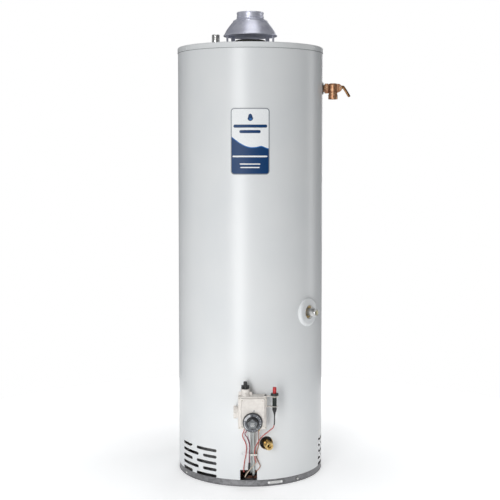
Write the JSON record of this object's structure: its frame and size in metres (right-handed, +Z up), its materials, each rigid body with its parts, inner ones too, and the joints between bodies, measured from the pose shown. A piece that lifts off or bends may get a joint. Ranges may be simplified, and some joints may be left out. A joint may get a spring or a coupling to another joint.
{
  "type": "tank water heater",
  "caption": "Upright round gas storage water heater: a jacketed tank with draft hood, gas control, push igniter, drain and relief valves, pipe nipples and burner base.",
  "frame": {"origin": "centre of the base pan underside, on the floor and on the tank axis", "axes": "+Z up along the tank axis; -Y towards the front, where the gas control is; +X towards the relief valve"},
  "size_m": [0.6073, 0.6046, 1.612],
  "materials": {
    "white_paint": "satin",
    "dark_galvanised": "dull rolled zinc",
    "foam": "sprayed foam",
    "tank_steel": "dull",
    "flue_steel": "dull",
    "baffle_steel": "heat dulled",
    "liner_plastic": "satin",
    "plated_steel": "plated",
    "valve_brass": "cast and turned",
    "tube_aluminium": "drawn",
    "copper_lead": "dull drawn",
    "lead_beige": "satin",
    "lead_red": "satin",
    "lead_maroon": "satin",
    "black_plastic": "satin",
    "tie_white": "satin",
    "valve_grey": "fine powder coat",
    "dial_black": "semi gloss",
    "hub_grey": "semi gloss",
    "button_red": "gloss",
    "seal_rubber": "dull",
    "valve_bronze": "cast, tarnished",
    "lever_bronze": "pressed, dark",
    "badge_blue": "printed, glossy",
    "bright_galvanised": "bright zinc"
  },
  "bodies": {
    "heater": {"base_pan": "dark_galvanised", "jacket": "white_paint", "jacket_foot": "white_paint", "jacket_lid": "white_paint", "insulation_foam": "foam", "tank_shell": "tank_steel", "tank_top_head": "tank_steel", "tank_bottom_head": "tank_steel", "flue_tube": "flue_steel", "flue_baffle": "baffle_steel", "dip_tube": "liner_plastic", "hot_nipple_liner": "liner_plastic", "anode_rod": "plated_steel", "cold_inlet_nipple": "plated_steel", "hot_outlet_nipple": "plated_steel", "combustion_skirt": "tank_steel", "inner_door": "flue_steel", "outer_cover": "white_paint", "burner_body": "baffle_steel", "burner_cap": "baffle_steel", "burner_orifice_holder": "valve_brass", "main_gas_tube": "tube_aluminium", "pilot_burner": "valve_brass", "pilot_gas_tube": "tube_aluminium", "thermocouple": "copper_lead", "igniter_lead": "lead_beige", "cutoff_lead_left": "lead_red", "cutoff_lead_right": "lead_maroon", "thermal_cutoff": "black_plastic", "cable_tie": "tie_white", "gas_valve_body": "valve_grey", "gas_valve_cover": "valve_grey", "thermostat_probe": "valve_brass", "gas_inlet_adapter": "valve_grey", "piezo_body": "black_plastic", "piezo_bracket": "valve_grey", "piezo_boot": "black_plastic", "drain_valve_body": "valve_brass", "drain_seal": "seal_rubber", "relief_valve_body": "valve_bronze", "relief_valve_probe": "valve_brass", "relief_valve_gasket": "seal_rubber", "side_nipple": "plated_steel", "side_nipple_liner": "liner_plastic", "side_escutcheon": "white_paint", "badge_plate": "badge_blue", "draft_hood_bell": "bright_galvanised", "draft_hood_collar": "bright_galvanised", "draft_hood_leg_1": "bright_galvanised", "draft_hood_leg_2": "bright_galvanised", "draft_hood_leg_3": "bright_galvanised", "draft_hood_leg_4": "bright_galvanised"},
    "dial": {"temperature_dial": "dial_black", "dial_hub": "hub_grey"},
    "gas_cock": {"gas_cock_knob": "black_plastic"},
    "pilot_button": {"pilot_button": "black_plastic"},
    "igniter_button": {"piezo_button": "button_red"},
    "relief_lever": {"relief_valve_lever": "lever_bronze"},
    "relief_stem": {"relief_valve_stem": "valve_brass"},
    "drain_stem": {"drain_valve_stem": "valve_brass"}
  },
  "joints": [
    {"name": "dial_turn", "type": "hinge", "parent": "heater", "child": "dial", "pos_m": [0.0073, -0.3163, 0.2365], "axis": [0, -1, 0], "range_deg": [-135, 135]},
    {"name": "gas_cock_turn", "type": "hinge", "parent": "heater", "child": "gas_cock", "pos_m": [-0.0165, -0.289, 0.3423], "axis": [0, 0, 1], "range_deg": [0, 180]},
    {"name": "pilot_button_press", "type": "slide", "parent": "gas_cock", "child": "pilot_button", "axis": [0, 0, -1], "range_m": [0, 0.006], "stiffness_N_per_m": 400},
    {"name": "igniter_press", "type": "slide", "parent": "heater", "child": "igniter_button", "axis": [0, 0, -1], "range_m": [0, 0.006], "stiffness_N_per_m": 600},
    {"name": "relief_lever_lift", "type": "hinge", "parent": "heater", "child": "relief_lever", "pos_m": [0.316, 0, 1.353], "axis": [0, -1, 0], "range_deg": [0, 75]},
    {"name": "relief_stem_pull", "type": "slide", "parent": "heater", "child": "relief_stem", "axis": [1, 0, 0], "range_m": [0, 0.0032]},
    {"name": "drain_stem_turn", "type": "hinge", "parent": "heater", "child": "drain_stem", "pos_m": [0.05922, -0.27162, 0.149], "axis": [0, 0, -1], "range_deg": [0, 90]}
  ],
  "couplings": [
    {"joint": "relief_stem_pull", "follows": "relief_lever_lift", "m_per_rad": 0.0023}
  ]
}
